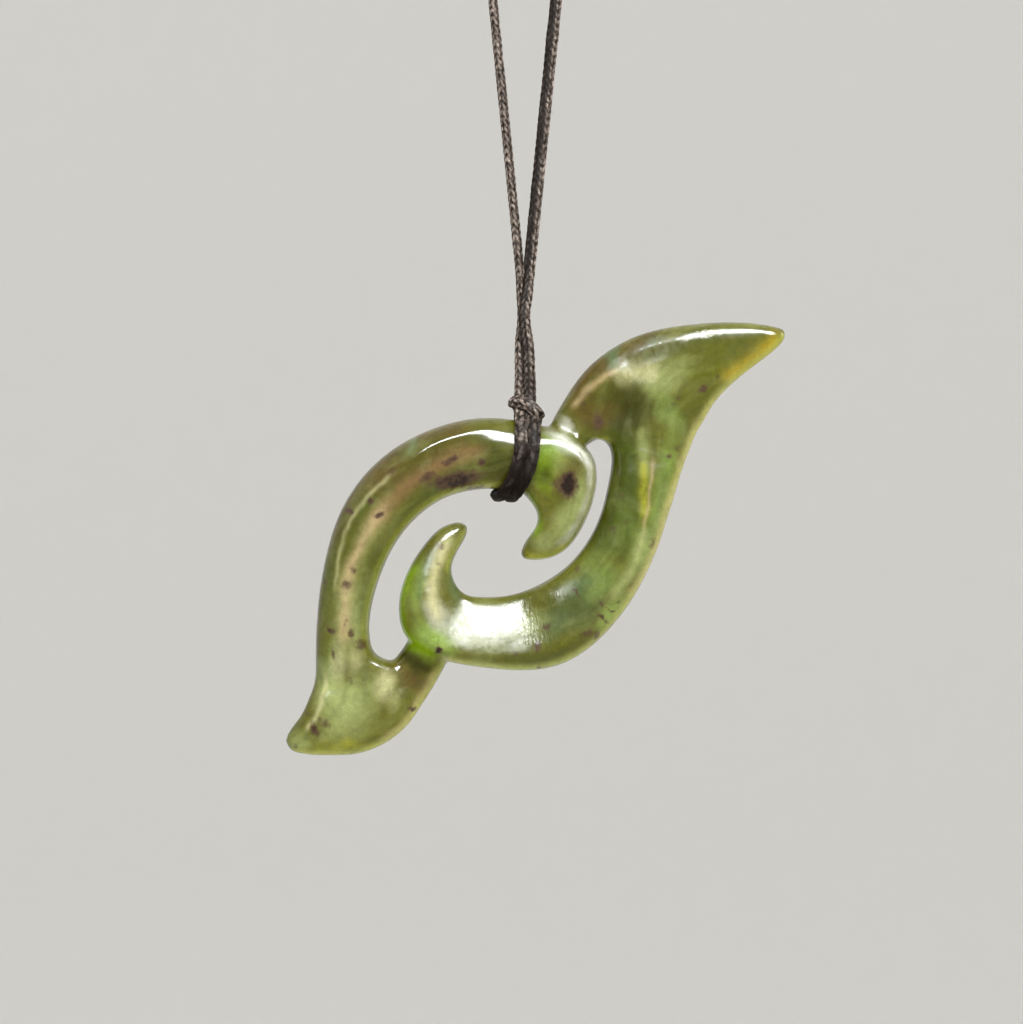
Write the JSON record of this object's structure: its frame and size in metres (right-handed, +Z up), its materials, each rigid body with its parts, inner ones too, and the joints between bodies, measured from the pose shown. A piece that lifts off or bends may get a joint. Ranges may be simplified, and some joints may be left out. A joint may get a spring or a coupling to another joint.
{
  "type": "koru pendant on a neck cord",
  "caption": "Carved green stone pendant of interlocking koru curls, hung by a lark's head hitch from a closed waxed neck cord.",
  "frame": {"origin": "inside of the neck loop's top, where the loop rests on a neck or a hook", "axes": "+Z up along the hanging cord, +X to the viewer's right, the carved face looks along -Y"},
  "size_m": [0.051, 0.0086, 0.3136],
  "materials": {
    "greenstone": "polished, slightly translucent, mottled olive green with brown inclusions",
    "waxed_cord": "braided and waxed, dark brown, slight sheen"
  },
  "bodies": {
    "cord": {"neck_cord": "waxed_cord", "cord_hitch": "waxed_cord"},
    "stone": {"pendant": "greenstone"}
  },
  "joints": [
    {"name": "stone_swing", "type": "hinge", "parent": "cord", "child": "stone", "pos_m": [-0.00005, 0, -0.28278], "axis": [0.9903, 0, -0.1392], "range_deg": [-15, 15]}
  ]
}
